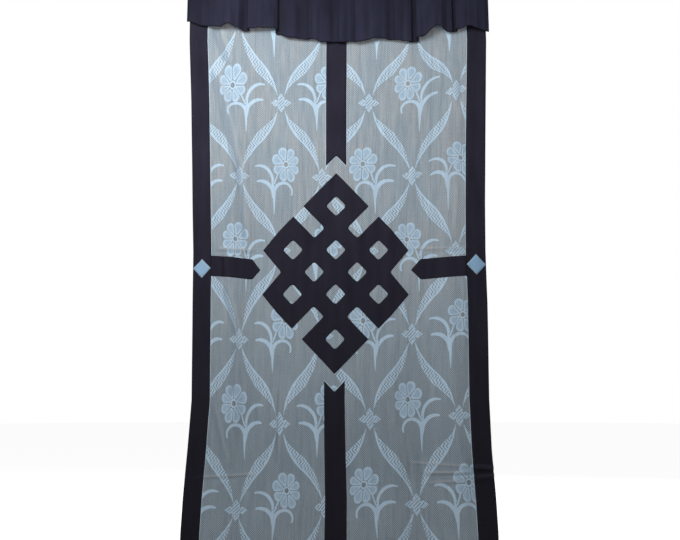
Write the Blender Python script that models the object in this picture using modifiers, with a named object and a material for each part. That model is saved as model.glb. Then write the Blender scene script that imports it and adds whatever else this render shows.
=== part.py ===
"""A Tibetan door curtain: a sheer jacquard panel with navy borders, bands, arms and an endless knot sewn on its
front, and a pleated navy valance over its top.

Metres, +Z up. The origin is the middle of the top edge, and the front faces -Y. A place on the cloth is given by
"across", from the middle line toward +X, and "drop", from the top edge down, both measured on the flat cloth.
"""

import math

import bmesh
import bpy
import numpy as np
from mathutils import Vector

# Driving dimensions of the flat cut pieces
WIDTH = 0.90
LENGTH = 1.80
BORDER_LEFT = 0.055
BORDER_RIGHT = 0.059
BAND_HALF = 0.031
UPPER_NOTCH = {"tips": 0.592, "apex": 0.560}
LOWER_NOTCH = {"tips": 1.227, "apex": 1.259}
KNOT_UNIT = 0.0655
KNOT_DROP = 0.911
STRIP_HALF = 0.265
LOOP_STARTS = (-2, 0)
SIDE_CORNERS = {"from": 2.6, "narrowed": 0.87}
ARM_HALF = 0.030
ARM_TIP = 0.231
ARM_SHOULDER = 0.259
ARM_DROP = {"border": 0.892, "tip": 0.904}
DIAMOND_TALL = 1.03
DIAMOND_DROP = {"left": 0.899, "right": 0.888}

# Cloth thicknesses, and how far the middle of each layer stands in front of the middle of the sheer
SHEER = 0.0010
NAVY = 0.0010
VALANCE = 0.0012
GAP = 0.0003
TURNED_EDGE = 0.0003
FIRST_LAYER = SHEER / 2 + GAP + NAVY / 2
KNOT_LAYER = FIRST_LAYER + TURNED_EDGE
DIAMOND_LAYER = FIRST_LAYER + NAVY + GAP + TURNED_EDGE
VALANCE_LAYER = FIRST_LAYER + NAVY / 2 + GAP + TURNED_EDGE + VALANCE / 2

# Where the panel's edges and middle line hang at each drop
#   drop, left edge, middle line, right edge
HANG = (
    (0.00, -0.450, 0.000, 0.450),
    (0.20, -0.448, -0.001, 0.454),
    (0.39, -0.439, -0.002, 0.448),
    (0.70, -0.429, -0.002, 0.440),
    (0.85, -0.424, -0.003, 0.438),
    (1.00, -0.423, -0.004, 0.441),
    (1.28, -0.420, -0.007, 0.440),
    (1.42, -0.428, -0.005, 0.444),
    (1.56, -0.438, -0.002, 0.453),
    (1.65, -0.442, -0.003, 0.457),
    (1.80, -0.444, -0.003, 0.459),
)
EVEN_HALF = 0.23

# Soft vertical folds; a positive depth swings the cloth back, a negative one brings it forward
#   across, half width, depth, drop of the deepest place, half length
FOLDS = (
    (-0.470, 0.130, 0.018, 1.20, 1.15),
    (-0.335, 0.095, -0.011, 1.00, 0.95),
    (-0.250, 0.105, 0.009, 1.25, 0.95),
    (0.000, 0.240, -0.009, 1.20, 1.05),
    (0.265, 0.105, 0.008, 1.45, 0.90),
    (0.350, 0.095, -0.010, 1.15, 1.05),
    (0.470, 0.120, 0.010, 1.35, 1.05),
    (-0.130, 0.110, -0.007, 1.75, 0.45),
    (0.140, 0.100, -0.008, 1.75, 0.40),
    (0.375, 0.070, -0.005, 0.30, 0.25),
)

# The valance's ridges and valleys at its hem
#   across, distance in front of the panel, drop of the hem
PLEATS = (
    (-0.456, 0.006, 0.142),
    (-0.401, 0.009, 0.158),
    (-0.353, 0.020, 0.164),
    (-0.327, 0.034, 0.159),
    (-0.301, 0.022, 0.168),
    (-0.276, 0.006, 0.175),
    (-0.262, 0.020, 0.169),
    (-0.222, 0.024, 0.169),
    (-0.190, 0.020, 0.168),
    (-0.174, 0.005, 0.184),
    (-0.146, 0.014, 0.196),
    (-0.092, 0.008, 0.201),
    (-0.078, 0.013, 0.200),
    (-0.042, 0.015, 0.211),
    (-0.001, 0.008, 0.209),
    (0.014, 0.014, 0.211),
    (0.049, 0.009, 0.208),
    (0.064, 0.015, 0.210),
    (0.124, 0.017, 0.199),
    (0.169, 0.008, 0.202),
    (0.184, 0.013, 0.204),
    (0.214, 0.014, 0.209),
    (0.233, 0.005, 0.208),
    (0.254, 0.018, 0.196),
    (0.305, 0.033, 0.165),
    (0.339, 0.016, 0.179),
    (0.355, 0.005, 0.177),
    (0.369, 0.018, 0.171),
    (0.402, 0.025, 0.163),
    (0.431, 0.018, 0.170),
    (0.461, 0.010, 0.177),
)

# How far the pleats have opened: sewn flat at the top edge, full at the hem
#   part of the way down, part of the full depth
OPENING = (
    (0.0, 0.0),
    (0.2, 0.45),
    (1.0, 1.0),
)

# Mesh spacing
STEP_ACROSS = 0.026
STEP_SIDE = 0.023
STEP_DROP = 0.066
ARM_ROWS = 2
DIAMOND_CELLS = 4
VALANCE_ROWS = 6


def clear_scene():
    for old in list(bpy.data.objects):
        bpy.data.objects.remove(old, do_unlink=True)


def plain_material(name, colour, roughness):
    material = bpy.data.materials.new(name)
    material.use_nodes = True
    shader = material.node_tree.nodes["Principled BSDF"]
    shader.inputs["Base Color"].default_value = (*colour, 1.0)
    shader.inputs["Roughness"].default_value = roughness
    shader.inputs["Metallic"].default_value = 0.0
    return material


def column(rows, index):
    return [row[index] for row in rows]


def read_table(rows, index, at):
    """The value of one column of a table, between its rows, at a value of the first column."""
    return float(np.interp(at, column(rows, 0), column(rows, index)))


def rounded_bump(t):
    return 0.5 + 0.5 * math.cos(math.pi * t) if abs(t) < 1 else 0.0


def fold_depth(across, drop):
    depth = 0.0
    for middle, half_width, deepest, at_drop, half_length in FOLDS:
        fade = rounded_bump((drop - at_drop) / half_length)
        depth += deepest * fade * rounded_bump((across - middle) / half_width)
    return depth


def hang(across, drop):
    """Where a place on the sheer's middle hangs."""
    left, middle, right = (read_table(HANG, index, drop) for index in (1, 2, 3))
    even = EVEN_HALF * (right - left) / WIDTH
    flat_places = (-WIDTH / 2, -EVEN_HALF, 0.0, EVEN_HALF, WIDTH / 2)
    hung_places = (left, middle - even, middle, middle + even, right)
    x = float(np.interp(across, flat_places, hung_places))
    return Vector((x, fold_depth(across, drop), -drop))


def in_front(across, drop, lift):
    """A place "lift" in front of the sheer's middle, square to the cloth."""
    small = 0.002
    along = hang(across + small, drop) - hang(across - small, drop)
    down = hang(across, drop + small) - hang(across, drop - small)
    outward = down.cross(along).normalized()
    if outward.y > 0:
        outward.negate()
    return hang(across, drop) + outward * lift


def grid_sheet(columns, rows, place):
    """A bmesh grid of cells whose points go where place(column, row) says."""
    mesh = bmesh.new()
    bmesh.ops.create_grid(mesh, x_segments=columns, y_segments=rows, size=0.5)
    for point in mesh.verts:
        point.co = place(round((point.co.x + 0.5) * columns), round((0.5 - point.co.y) * rows))
    return mesh


def add_cloth(name, mesh, thickness, material):
    """Gives an open sheet its thickness, as one closed body."""
    bmesh.ops.remove_doubles(mesh, verts=mesh.verts, dist=0.00001)
    bmesh.ops.recalc_face_normals(mesh, faces=mesh.faces)
    data = bpy.data.meshes.new(name)
    mesh.to_mesh(data)
    mesh.free()
    data.materials.append(material)
    data.shade_smooth()
    cloth = bpy.data.objects.new(name, data)
    solid = cloth.modifiers.new("thickness", "SOLIDIFY")
    solid.thickness = thickness
    solid.offset = 0.0
    solid.use_even_offset = True
    bpy.data.collections["tibetan_door_curtain"].objects.link(cloth)
    return cloth


def divided(edges, steps):
    """Grid lines at every edge, with the stretches between them divided evenly into cells no wider than their step."""
    lines = [edges[0]]
    for start, end, step in zip(edges, edges[1:], steps):
        cells = max(1, math.ceil((end - start) / step - 1e-6))
        lines += [start + (end - start) * cell / cells for cell in range(1, cells + 1)]
    return lines


def lines_across():
    """The grid lines down the panel, which the borders, the band and the arms share."""
    edges = (
        -WIDTH / 2,
        BORDER_LEFT - WIDTH / 2,
        -ARM_SHOULDER,
        -ARM_TIP,
        -BAND_HALF,
        BAND_HALF,
        ARM_TIP,
        ARM_SHOULDER,
        WIDTH / 2 - BORDER_RIGHT,
        WIDTH / 2,
    )
    side, middle = STEP_SIDE, STEP_ACROSS
    return divided(edges, (side, side, middle, middle, BAND_HALF, middle, middle, side, side))


def lines_down():
    return divided((0.0, LENGTH), (STEP_DROP,))


def between(lines, start, end):
    small = 1e-6
    return [line for line in lines if start - small <= line <= end + small]


def straight_sheet(name, across, drops, lift, thickness, material):
    def place(column_number, row):
        return in_front(across[column_number], drops[row], lift)

    return add_cloth(name, grid_sheet(len(across) - 1, len(drops) - 1, place), thickness, material)


def notched_band(name, drops, notch, at_end, material):
    """The middle band, with a V notch at its first or its last row."""
    across = between(lines_across(), -BAND_HALF, BAND_HALF)

    def place(column_number, row):
        sideways = across[column_number]
        drop = drops[row]
        if row == (len(drops) - 1 if at_end else 0):
            drop = notch["apex"] + (notch["tips"] - notch["apex"]) * abs(sideways) / BAND_HALF
        return in_front(sideways, drop, FIRST_LAYER)

    return add_cloth(name, grid_sheet(len(across) - 1, len(drops) - 1, place), NAVY, material)


def arm(name, side, inner_edge, material):
    """A strip from the border's inner edge toward the knot, with a pointed end."""
    stretch = between([abs(line) for line in lines_across() if line * side > 0], ARM_TIP, inner_edge)
    across = sorted(stretch)
    across[-1] -= GAP

    def place(column_number, row):
        out = across[column_number]
        along = (inner_edge - out) / (inner_edge - ARM_TIP)
        middle = ARM_DROP["border"] + (ARM_DROP["tip"] - ARM_DROP["border"]) * along
        half = ARM_HALF * min(1.0, (out - ARM_TIP) / (ARM_SHOULDER - ARM_TIP))
        return in_front(side * out, middle + half * (2 * row / ARM_ROWS - 1), FIRST_LAYER)

    return add_cloth(name, grid_sheet(len(across) - 1, ARM_ROWS, place), NAVY, material)


def diamond(name, middle_across, middle_drop, border, material):
    """A square patch standing on its corner, as wide as its border."""
    half = border / 2 - GAP

    def place(column_number, row):
        a = column_number / DIAMOND_CELLS - 0.5
        b = row / DIAMOND_CELLS - 0.5
        across = middle_across + (a - b) * half
        drop = middle_drop + (a + b) * half * DIAMOND_TALL
        return in_front(across, drop, DIAMOND_LAYER)

    return add_cloth(name, grid_sheet(DIAMOND_CELLS, DIAMOND_CELLS, place), NAVY, material)


def knot_lines():
    """Lattice lines at both edges and in the middle of each of the five strips, and halfway over each gap."""
    lines = []
    for strip in range(-2, 3):
        lines += [strip - STRIP_HALF, strip, strip + STRIP_HALF, strip + 0.5]
    return lines[:-1]


def on_strip(along, beside):
    """Whether the strip that is nearest to "along" covers this place. The two outer strips are four short loops."""
    strip = round(along)
    if abs(along - strip) > STRIP_HALF:
        return False
    if abs(strip) < 2:
        return True
    turned = beside * (1 if strip > 0 else -1)
    return any(start - STRIP_HALF <= turned <= start + 1 + STRIP_HALF for start in LOOP_STARTS)


def knot_place(p, q):
    """From the 45 degree lattice to the cloth. The four side corners are a little narrow, as they are cut."""
    sideways, down = p + q, p - q
    over = max(0.0, abs(sideways) - SIDE_CORNERS["from"])
    sideways -= math.copysign(over * (1 - SIDE_CORNERS["narrowed"]), sideways)
    return in_front(sideways * KNOT_UNIT, KNOT_DROP + down * KNOT_UNIT, KNOT_LAYER)


def endless_knot(material):
    """The knot, cut in one piece: a lattice of five strips each way with the cells between them left out."""
    lines = knot_lines()
    cells = len(lines) - 1
    mesh = grid_sheet(cells, cells, lambda i, j: Vector((lines[i], -lines[j], 0.0)))
    outside = []
    for face in mesh.faces:
        middle = face.calc_center_median()
        if not (on_strip(middle.x, middle.y) or on_strip(middle.y, middle.x)):
            outside.append(face)
    bmesh.ops.delete(mesh, geom=outside, context="FACES")
    for point in mesh.verts:
        point.co = knot_place(point.co.x, point.co.y)
    return add_cloth("endless_knot", mesh, NAVY, material)


def valance(material):
    """A pleated strip, sewn flat at the top edge and open at its hem."""

    def place(column_number, row):
        across, forward, hem = PLEATS[column_number]
        part_way = row / VALANCE_ROWS
        drop = hem * part_way
        y = fold_depth(across, drop) - VALANCE_LAYER - forward * read_table(OPENING, 1, part_way)
        return Vector((across, y, -drop))

    return add_cloth("valance", grid_sheet(len(PLEATS) - 1, VALANCE_ROWS, place), VALANCE, material)


def main():
    clear_scene()
    parts = bpy.data.collections.new("tibetan_door_curtain")
    bpy.context.scene.collection.children.link(parts)

    sheer = plain_material("sheer_jacquard", (0.33, 0.40, 0.44), 0.75)
    navy = plain_material("navy_cloth", (0.016, 0.014, 0.028), 0.85)
    patch = plain_material("pale_blue_cloth", (0.35, 0.55, 0.73), 0.80)
    heading = plain_material("valance_cloth", (0.026, 0.029, 0.062), 0.80)

    across = lines_across()
    drops = lines_down()
    inner_left = WIDTH / 2 - BORDER_LEFT
    inner_right = WIDTH / 2 - BORDER_RIGHT
    straight_sheet("sheer_panel", across, drops, 0.0, SHEER, sheer)
    straight_sheet("border_left", between(across, -WIDTH / 2, -inner_left), drops, FIRST_LAYER, NAVY, navy)
    straight_sheet("border_right", between(across, inner_right, WIDTH / 2), drops, FIRST_LAYER, NAVY, navy)

    upper = between(drops, 0.0, UPPER_NOTCH["apex"] - STEP_DROP / 4) + [UPPER_NOTCH["apex"]]
    lower = [LOWER_NOTCH["apex"]] + between(drops, LOWER_NOTCH["apex"] + STEP_DROP / 4, LENGTH)
    notched_band("centre_band_upper", upper, UPPER_NOTCH, True, navy)
    notched_band("centre_band_lower", lower, LOWER_NOTCH, False, navy)

    endless_knot(navy)
    arm("arm_left", -1, inner_left, navy)
    arm("arm_right", 1, inner_right, navy)
    diamond("diamond_left", BORDER_LEFT / 2 - WIDTH / 2, DIAMOND_DROP["left"], BORDER_LEFT, patch)
    diamond("diamond_right", WIDTH / 2 - BORDER_RIGHT / 2, DIAMOND_DROP["right"], BORDER_RIGHT, patch)
    valance(heading)


main()
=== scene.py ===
"""The looks of the Tibetan door curtain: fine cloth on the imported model's folds, with weave and stitching.

Metres, +Z up, with the long tables in millimetres. A place on the cloth is given by "across", from the
middle line toward +X, and "drop", from the top edge down, both on the flat cloth. The front faces -Y.
"""

import math

import bpy
import numpy as np
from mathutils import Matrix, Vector


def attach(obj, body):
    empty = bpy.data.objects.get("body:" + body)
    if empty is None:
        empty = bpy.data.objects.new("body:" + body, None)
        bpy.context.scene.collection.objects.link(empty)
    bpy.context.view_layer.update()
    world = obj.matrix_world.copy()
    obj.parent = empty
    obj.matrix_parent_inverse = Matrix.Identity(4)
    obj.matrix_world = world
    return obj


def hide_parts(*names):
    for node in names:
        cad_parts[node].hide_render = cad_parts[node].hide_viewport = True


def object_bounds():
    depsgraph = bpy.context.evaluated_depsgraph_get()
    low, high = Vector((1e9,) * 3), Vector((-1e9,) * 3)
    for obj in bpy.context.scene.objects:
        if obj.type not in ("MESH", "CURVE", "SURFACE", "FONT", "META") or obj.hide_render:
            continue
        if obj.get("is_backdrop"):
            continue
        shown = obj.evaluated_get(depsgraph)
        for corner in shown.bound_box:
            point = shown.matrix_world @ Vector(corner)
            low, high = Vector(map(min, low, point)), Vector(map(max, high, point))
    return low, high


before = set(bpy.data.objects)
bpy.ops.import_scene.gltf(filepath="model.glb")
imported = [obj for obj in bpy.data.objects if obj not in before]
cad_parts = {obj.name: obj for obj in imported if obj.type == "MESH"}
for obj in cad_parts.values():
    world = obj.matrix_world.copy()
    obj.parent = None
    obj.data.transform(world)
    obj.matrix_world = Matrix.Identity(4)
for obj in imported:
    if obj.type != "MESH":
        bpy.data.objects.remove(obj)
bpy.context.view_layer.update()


def metres(rows):
    """A table of millimetres in metres."""
    return tuple(tuple(value / 1000 for value in row) for row in rows)


# Flat sizes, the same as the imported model's
WIDTH = 0.9
LENGTH = 1.8
BORDER_LEFT = 0.055
BORDER_RIGHT = 0.059
BAND_HALF = 0.031
UPPER_NOTCH = {"tips": 0.592, "apex": 0.56}
LOWER_NOTCH = {"tips": 1.227, "apex": 1.259}
KNOT_UNIT = 0.0655
KNOT_DROP = 0.911
STRIP_HALF = 0.265
LOOP_STARTS = (-2, 0)
SIDE_CORNERS = {"from": 2.6, "narrowed": 0.87}
ARM_HALF = 0.03
ARM_TIP = 0.231
ARM_SHOULDER = 0.259
ARM_POINT = {"steps": (0.0, 0.0012, 0.003), "length": 0.006, "blunt": 0.02}
ARM_DROP = {"border": 0.892, "tip": 0.904}
DIAMOND_TALL = 1.03
DIAMOND_DROP = {"left": 0.899, "right": 0.888}
HEM = 0.02
GAP = 0.0003

# Where the panel's edges and middle line hang at each drop
#   drop, left edge, middle line, right edge
HANG = metres((
    (0, -450, 0, 450),
    (200, -448, -1, 454),
    (390, -439, -2, 448),
    (700, -429, -2, 440),
    (850, -424, -3, 438),
    (1000, -423, -4, 441),
    (1280, -420, -7, 440),
    (1420, -428, -5, 444),
    (1560, -438, -2, 453),
    (1650, -442, -3, 457),
    (1800, -444, -3, 459),
))
EVEN_HALF = 0.23

# Soft vertical folds; a positive depth swings the cloth back, a negative one brings it forward
#   across, half width, depth, drop of the deepest place, half length
FOLDS = metres((
    (-470, 130, 18, 1200, 1150),
    (-335, 95, -11, 1000, 950),
    (-250, 105, 9, 1250, 950),
    (0, 240, -9, 1200, 1050),
    (265, 105, 8, 1450, 900),
    (350, 95, -10, 1150, 1050),
    (470, 120, 10, 1350, 1050),
    (-130, 110, -7, 1750, 450),
    (140, 100, -8, 1750, 400),
    (375, 70, -5, 300, 250),
))

# Creases, as soft ridges (positive) and troughs (negative) along lines
#   across and drop of the start, across and drop of the end, half width, height
CREASES = metres((
    (-385, 841, -245, 846, 6, 1.6),
    (-395, 850, -235, 855, 6, -1.2),
    (-245, 846, 220, 842, 6, 0.6),
    (220, 841, 450, 838, 6, 1.2),
    (220, 850, 440, 847, 6, -0.9),
    (-31, 527, 31, 524, 6, 0.8),
    (-450, 1500, -200, 1489, 6, 1.4),
    (-440, 1509, -220, 1497, 6, -1),
    (200, 1456, 398, 1468, 4.5, 1.4),
    (245, 1487, 400, 1484, 4.5, 1.8),
    (250, 1496, 395, 1490, 4.5, -1.4),
    (255, 1516, 365, 1505, 4.5, 1.4),
    (300, 1525, 385, 1512, 4.5, -1),
    (391, 1466, 460, 1474, 6, 3.4),
    (385, 1480, 460, 1486, 6, -3.8),
    (391, 1498, 460, 1490, 6, 3),
    (385, 1515, 460, 1502, 7, -2.4),
    (-80, 1612, 80, 1616, 8, 0.8),
    (375, 1620, 430, 1624, 5, 1),
    (-168, 1225, -171, 1490, 5, -1.8),
    (-161, 1225, -163, 1490, 5, 1.2),
    (-354, 850, -351, 945, 9, -3.4),
    (-341, 850, -338, 945, 9, 2.2),
    (373, 250, 372, 425, 9, -2.2),
    (383, 240, 384, 430, 8, 1.2),
    (-378, 140, -332, 275, 12, -5),
    (-360, 140, -316, 275, 10, 3.4),
    (-353, 945, -300, 1115, 11, -3.4),
    (-335, 945, -283, 1115, 10, 2.2),
    (-302, 1100, -318, 1290, 10, -2.4),
    (-392, 1290, -333, 1470, 10, -3),
    (-374, 1290, -315, 1470, 10, 2),
    (-390, 270, -298, 640, 11, -3.6),
    (-370, 270, -280, 640, 11, 2.6),
    (-306, 560, -282, 840, 10, -2.6),
    (-290, 560, -266, 840, 9, 1.6),
    (-50, 1250, -52, 1780, 8, 0.8),
    (112, 1180, 106, 1560, 10, -1),
    (-260, 180, -262, 700, 5, 0.7),
    (286, 560, 290, 880, 6, 0.8),
    (318, 200, 322, 620, 5, -0.7),
))
CREASE_FADE = 0.18
CREASE_FULL = 0.0015
SHARP_CREASE = 0.0075
DRAG_FULL = 0.0026

# Slight unevenness of the hung sheer
#   waves in each metre across, waves in each metre down, start, height
RIPPLES = (
    (31.0, 1.3, 0.4, 0.00035),
    (23.0, -0.9, 2.1, 0.00045),
    (11.0, 2.7, 1.2, 0.0005),
    (5.0, 4.1, 3.3, 0.0006),
)
RIPPLE_GROWTH = 0.25

# The valance's ridges and valleys at its hem
#   across, distance in front of the panel, drop of the hem
PLEATS = metres((
    (-456, 6, 142),
    (-401, 9, 158),
    (-353, 20, 164),
    (-327, 34, 159),
    (-301, 22, 168),
    (-276, 6, 175),
    (-262, 20, 169),
    (-222, 24, 169),
    (-190, 20, 168),
    (-174, 5, 184),
    (-146, 14, 196),
    (-92, 8, 201),
    (-78, 13, 200),
    (-42, 15, 211),
    (-1, 8, 209),
    (14, 14, 211),
    (49, 9, 208),
    (64, 15, 210),
    (124, 17, 199),
    (169, 8, 202),
    (184, 13, 204),
    (214, 14, 209),
    (233, 5, 208),
    (254, 18, 196),
    (305, 33, 165),
    (339, 16, 179),
    (355, 5, 177),
    (369, 18, 171),
    (402, 25, 163),
    (431, 18, 170),
    (461, 10, 177),
))
OPENING = ((0.0, 0.0), (0.2, 0.45), (1.0, 1.0))

# Small gathers between the pleats
#   waves in each metre across, start, height
GATHERS = (
    (29.0, 0.3, 0.0013),
    (47.0, 1.9, 0.0008),
    (83.0, 0.8, 0.0004),
)
SHARP_PLEAT = 0.0225
TUCK = {"share": 0.42, "least": 0.0045, "full_at": 0.35}
PLEAT_CELLS = 10
VALANCE_ROWS = 46
ROW_CROWDING = 0.9
VALANCE_THICK = 0.0012
VALANCE_LIFT = 0.0024
VALANCE_HEM = 0.009
HEM_ROLL = {"back": 0.0022, "within": 0.006}
HEM_FOLD = {"half": 0.0005, "ramp": 0.002}
VALLEY_DEPTH = 0.016

# Cell sizes of the fine sheets, and the finer rows where creases cross the cloth
CELL = 0.0045
FINE_CELL = 0.0022
FINE_DROPS = ((0.828, 0.862), (1.445, 1.535))
DIAMOND_CELL = 0.0035
EDGE_STEPS = (0.0008, 0.0022, 0.0048, 0.0085, 0.0115)
EDGE_ROOM = 0.002
ROUNDING = 1e-6
SHARP_TURN = 0.0002
BATCH = 500

# The section of an applied piece: its height at each distance from its edge
#   distance from the edge, height of its front
PUFF = (
    (0.0, 0.0007),
    (0.0008, 0.0014),
    (0.0022, 0.0018),
    (0.0048, 0.0021),
    (0.0085, 0.0019),
    (0.0115, 0.0016),
    (0.02, 0.0016),
)
BACK_LIFT = 0.0002
PATCH_LIFT = 0.0018
STITCH_IN = 0.0028

# The weave's pattern: a lattice of ribbons and rosettes, with a flower in each of its cells
COLUMN_ACROSS = (-0.5648, -0.4326, -0.299, -0.1682, -0.038, 0.1, 0.233, 0.3606, 0.4928)
FIRST_COLUMN = -4
ROW_DROPS = (0.397, 0.622, 0.848, 1.092, 1.3355, 1.577)
ROW_PITCH_ABOVE = 0.2255
ROW_PITCH_BELOW = 0.2413

# Where the weave is pulled out of its rows and columns
#   across, drop, half width, half length, shift toward +X, shift down
DRIFTS = metres((
    (400, 330, 190, 260, 0, -46),
    (340, 620, 115, 170, 0, -34),
    (-320, 140, 320, 240, 0, -27),
    (-330, 360, 120, 110, -6, 8),
    (-40, 622, 120, 130, -6, 6),
    (100, 640, 100, 140, -5, -3),
    (-240, 1460, 300, 380, 6, 19.5),
    (-40, 1330, 140, 200, 8, 12.5),
    (-180, 1600, 260, 220, 11.5, 0),
    (140, 1330, 200, 160, 6, 0),
    (120, 1590, 170, 150, -8.5, -5.5),
    (420, 1400, 260, 340, 0, -13),
    (-280, 1100, 340, 160, 2, 16),
    (80, 1110, 140, 150, 0, 15),
    (400, 1080, 120, 130, 0, -11.5),
))

# One unit of the drawn motifs is about 3 mm of cloth
CELL_HALF_WIDE = 44.0
CELL_HALF_TALL = 73.0
SOFT_EDGE = 0.38

# Where the flowers sit in their rows of cells
#   the row in tenths, counted from two above the first rosette, how far below its place, how much taller
FLOWER_ROWS = (
    (0.0, 0.0, 0.0),
    (0.1, 0.0, 0.0),
    (0.2, 0.0, 0.0),
    (0.3, 8.5, 0.0),
    (0.4, 8.0, 0.04),
    (0.5, 4.1, 0.08),
    (0.6, 2.2, 0.08),
    (0.7, 1.8, 0.08),
    (0.8, 1.8, 0.08),
)
FIRST_FLOWER_ROW = -2
TENTH = 0.1
LOWER_RANGE = (-2.0, 12.0)
TALLER_RANGE = (-0.1, 0.1)

# The ribbon from one rosette to the next
#   part of the way, distances of its solid edge and its fretted edge from the straight line
RIBBON = (
    (0.08, -0.3, -0.1),
    (0.17, -3.0, -1.2),
    (0.26, -4.8, 0.5),
    (0.36, -5.2, 3.3),
    (0.46, -4.1, 6.2),
    (0.58, -1.4, 7.3),
    (0.7, 0.6, 6.8),
    (0.82, 1.3, 3.9),
    (0.93, 0.7, 0.8),
)
RIBBON_RANGE = (-8.0, 8.0)
RIBBON_ENDS = ((0.08, 0.11), (0.93, 0.9))
RIBBON_EDGE = 1.7
FRET = {"line": 3.2, "long": 4.2, "short": 2.2}

# The lines across a rosette, inside its rim, and how sharp they and the frets are
ROSETTE_RIM = 0.9
HATCH_LINE = 3.25
LINE_EDGE = (0.1, 0.7)

# The flower, seen with its head on the left of its stem
FLOWER = {"across": -4.9, "down": -19.7, "taller": 1.15, "petals": 8}
PETAL = {"middle": 9.2, "half_long": 5.6, "half_wide": 3.9, "broader": 0.32, "gap": 0.34}
RING = {"radius": 2.8, "half": 0.8}
DOTS = {"waves": 3.6, "radius": 1.7, "edge": (0.2, 0.8), "share": 0.5}

# How the flower's outline swells
#   times around it, turn in degrees, share
SWELLINGS = (
    (2, -130, 0.07),
    (3, -50, 0.03),
)

# Thin darker warp lines
#   across, drop of the start, drop of the end
WARP_LINES = (
    (-0.2465, 0.1, 0.74),
    (0.287, 0.12, 0.95),
    (-0.0985, 1.3, 1.8),
)

# Curved leaves, as stretches of ellipses
#   middle across, middle down, radius across, radius down, angle of the middle, half span, widths
LEAVES = (
    (23.0, -2.5, 14.2, 16.5, 125.0, 55.0, (1.3, 1.6, 0.6)),
    (21.8, 9.0, 12.9, 12.8, 125.0, 55.0, (1.2, 1.9, 0.8)),
    (-2.2, 7.2, 9.1, 8.6, 107.0, 100.0, (0.8, 1.45, 1.9)),
)
LEAF_ENDS = ((0.0, 0.02), (1.0, 0.97))

# Straight stalks, from one end to the other
#   across and down of the start, across and down of the end, half width at the start and at the end
STALKS = (
    (2.8, -12.3, 7.2, -1.0, 0.8, 0.8),
    (9.3, -2.5, 7.7, 7.0, 0.9, 1.9),
    (9.5, 8.0, 7.5, 13.0, 0.9, 1.6),
    (7.4, 5.0, 7.2, 28.5, 2.0, 0.3),
)

# Colours
SHEER_GROUND = (0.188, 0.222, 0.244)
SHEER_WARM = (0.256, 0.25, 0.238)
SHEER_DARK = (0.1, 0.13, 0.156)
# Painted shade: the sheer's colour towards the bottom
SHEER_LOW_SHADE = (0.088, 0.118, 0.138)
# The next three colours are a painted highlight on crease ridges, and a painted highlight and painted shade
# on drag folds
CREASE_HIGHLIGHT = (0.44, 0.45, 0.46)
DRAG_HIGHLIGHT = (0.33, 0.4, 0.46)
DRAG_SHADE = (0.145, 0.205, 0.275)
MOTIF = (0.45, 0.6, 0.74)
MOTIF_SHADE = (0.225, 0.325, 0.43)
SEAM = (0.46, 0.56, 0.62)

# The plain cloths
#   colour, its darker tone and painted shade, its worn colour and painted highlight, distance between the
#   yarns, how far in the stitches, pale rim
NAVY = ((0.0172, 0.0158, 0.029), (0.006, 0.0055, 0.0095), (0.031, 0.029, 0.046), 0.0009, STITCH_IN, 0.0)
HEADING = ((0.017, 0.018, 0.036), (0.0035, 0.0035, 0.007), (0.032, 0.035, 0.064), 0.0008, VALANCE_HEM, 0)
PATCH = ((0.305, 0.49, 0.695), (0.15, 0.28, 0.45), (0.47, 0.62, 0.75), 0.0009, STITCH_IN, 0.8)

# Noises in the cloths
#   features in each metre across and down, detail, seed
SHEER_NOISES = (
    (360, 14, 2.0, 1.0),
    (150, 5, 3.0, 5.0),
    (14, 420, 2.0, 9.0),
    (330, 240, 2.0, 17.0),
    (13, 4, 3.0, 13.0),
)
CLOTH_NOISES = (
    (30, 6, 4.0, 2.0),
    (520, 26, 3.0, 7.0),
    (30, 480, 3.0, 4.0),
    (700, 700, 1.0, 11.0),
)

# How creases and drag folds show, as a painted highlight on their ridges and painted shade in their troughs
#   height at which they start and are full, share of the highlight on ridges, share of the shade in troughs
SHEER_CREASES = {"drag": (0.1, 1.0, 0.35, 0.45), "crease": (0.35, 1.0, 0.35, 0.45)}
CLOTH_CREASES = {"crease": (0.35, 1.2, 0.5, 0.6), "drag": (0.2, 1.2, 0.35, 0.7)}

OPACITY = {"ground": 0.89, "threads": 0.05, "low": 0.05, "hem": 0.97, "motif": 0.985}
SHEER_YARN = 0.0011
STITCH = {"thread": (0.0006, 0.0003), "gap": (0.36, 0.3), "length": 0.0032}
SPECULAR = 0.1

# Camera and room
SENSOR = 36.0
FOCAL_PIXELS = 900.0
PICTURE_WIDE = 680.0
CAMERA_AWAY = 2.6127
CAMERA_ACROSS = 0.00946
CAMERA_PITCH = 8.0
PICTURE_TOP_DROP = 0.07
HALF_PICTURE = 270.0
FLOOR_BELOW = 0.03
FLOOR_SIZE = 40.0
FLOOR_GREY = 0.86
FLOOR_GLOW = 0.86
DOME_RADIUS = 18.0
ROOM_GLOW = 0.12

# Lights
#   name, place, target, size, power, colour
LIGHTS = (
    ("key", (-0.45, -1.05, 0.0), (0, 0, -0.45), (1.1, 0.5), 17.5, (1.0, 0.985, 0.97)),
    ("fill", (-0.5, -2.8, -0.9), (0, 0, -1.2), (2.0, 2.0), 20, (0.94, 0.97, 1.0)),
    ("back", (0.6, 2.8, 0.6), (0, 0, -1.0), (2.0, 2.0), 45, (1.0, 1.0, 1.0)),
)


# Where the cloth hangs


def column(rows, index):
    return [row[index] for row in rows]


def read_table(rows, index, at):
    """The values of one column of a table, between its rows, at values of the first column."""
    return np.interp(at, column(rows, 0), column(rows, index))


def rounded_bump(t):
    return np.where(np.abs(t) < 1, 0.5 + 0.5 * np.cos(np.pi * np.clip(t, -1, 1)), 0.0)


def smooth_rise(t):
    t = np.clip(t, 0, 1)
    return t * t * (3 - 2 * t)


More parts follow.
